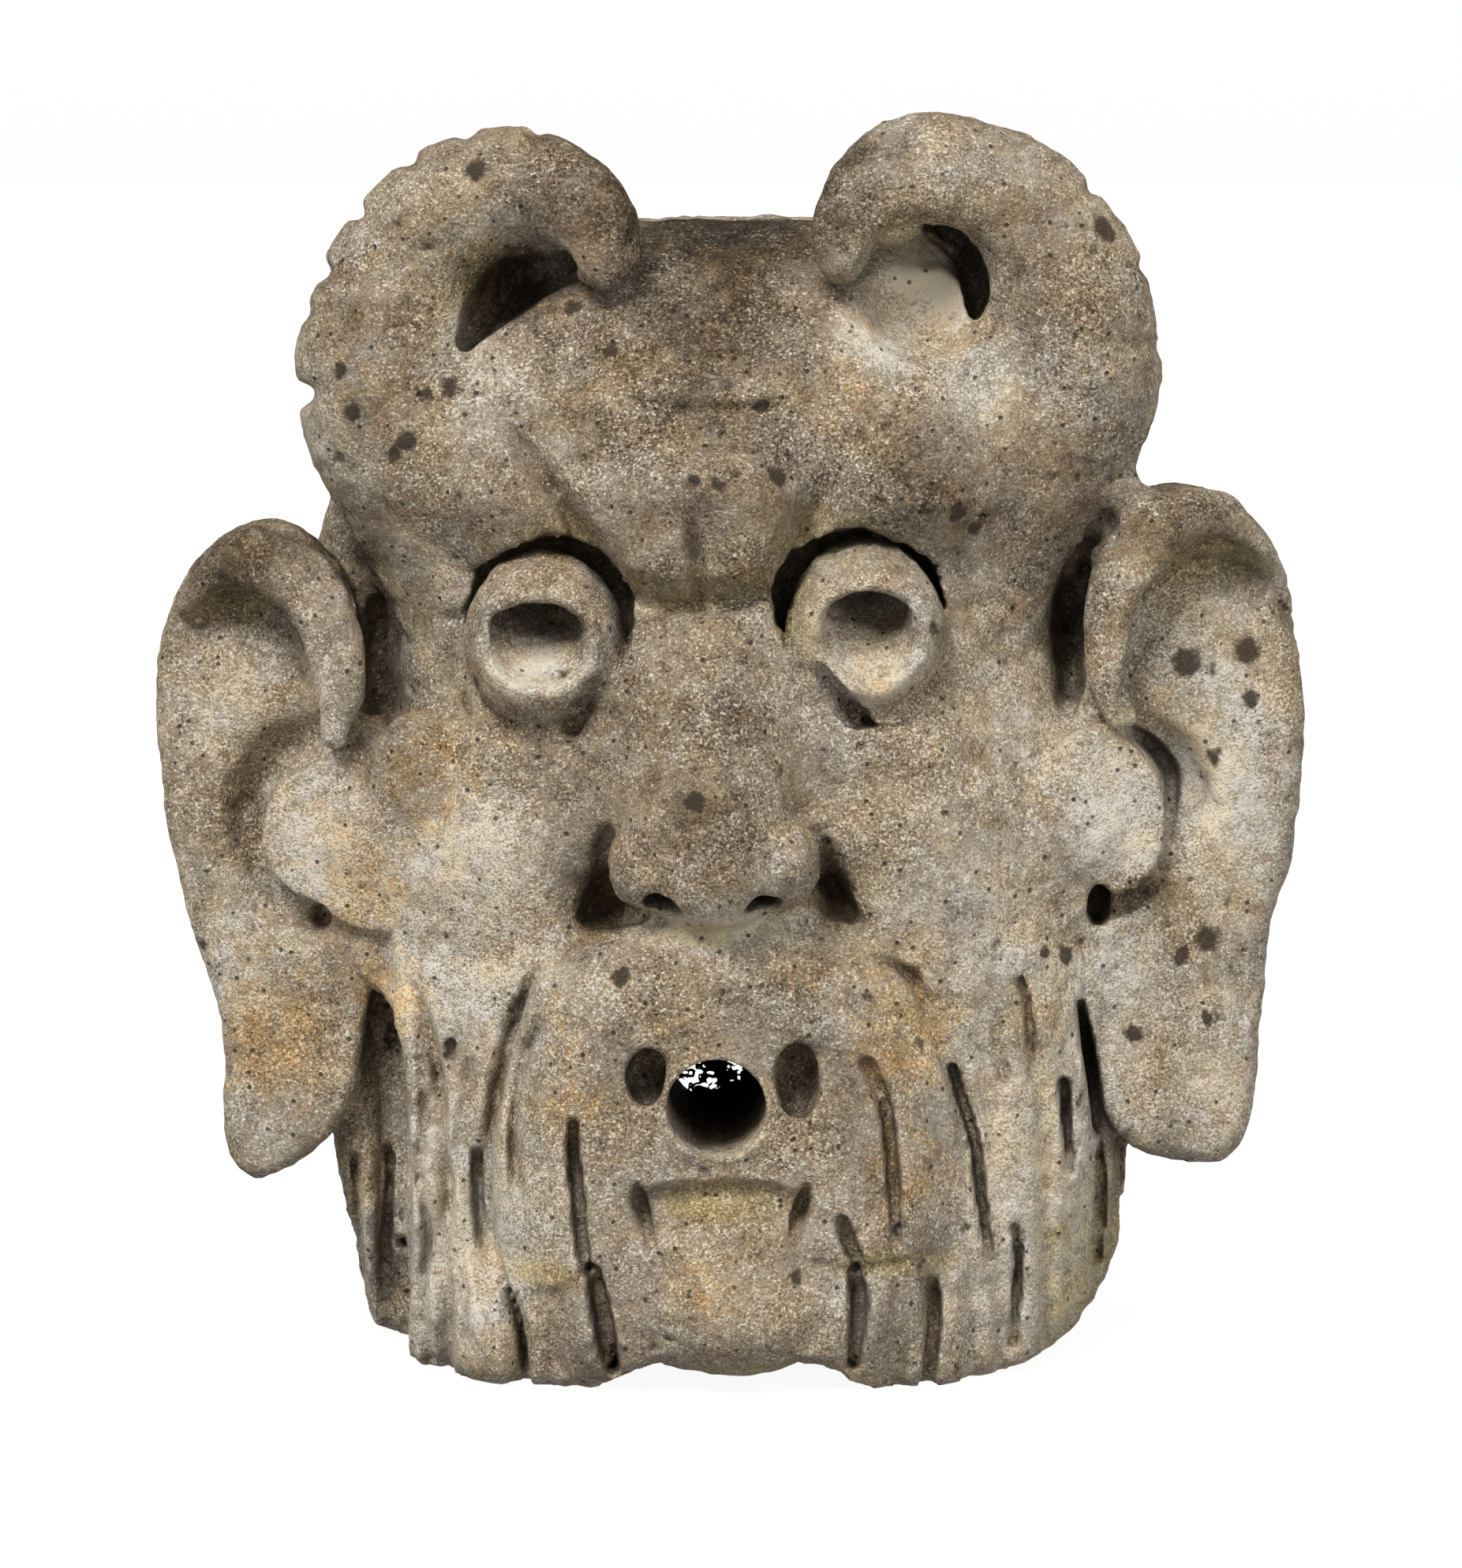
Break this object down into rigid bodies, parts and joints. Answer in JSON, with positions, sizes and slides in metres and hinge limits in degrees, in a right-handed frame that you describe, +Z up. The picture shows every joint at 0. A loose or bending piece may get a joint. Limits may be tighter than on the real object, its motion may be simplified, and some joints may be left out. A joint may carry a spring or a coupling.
{
  "type": "fountain mask",
  "caption": "Carved limestone fountain mask: a horned, bearded grotesque head with beast's ears, its open mouth bored through for the water, flat behind and below.",
  "frame": {"origin": "on the underside, below the middle of the head", "axes": "+Z up, the face looks along -Y, the flat back faces +Y"},
  "size_m": [0.4639, 0.24, 0.5001],
  "materials": {
    "limestone": "weathered and matt, with lichen and algae"
  },
  "bodies": {
    "root": {"carved_stone_mask": "limestone"}
  },
  "joints": []
}
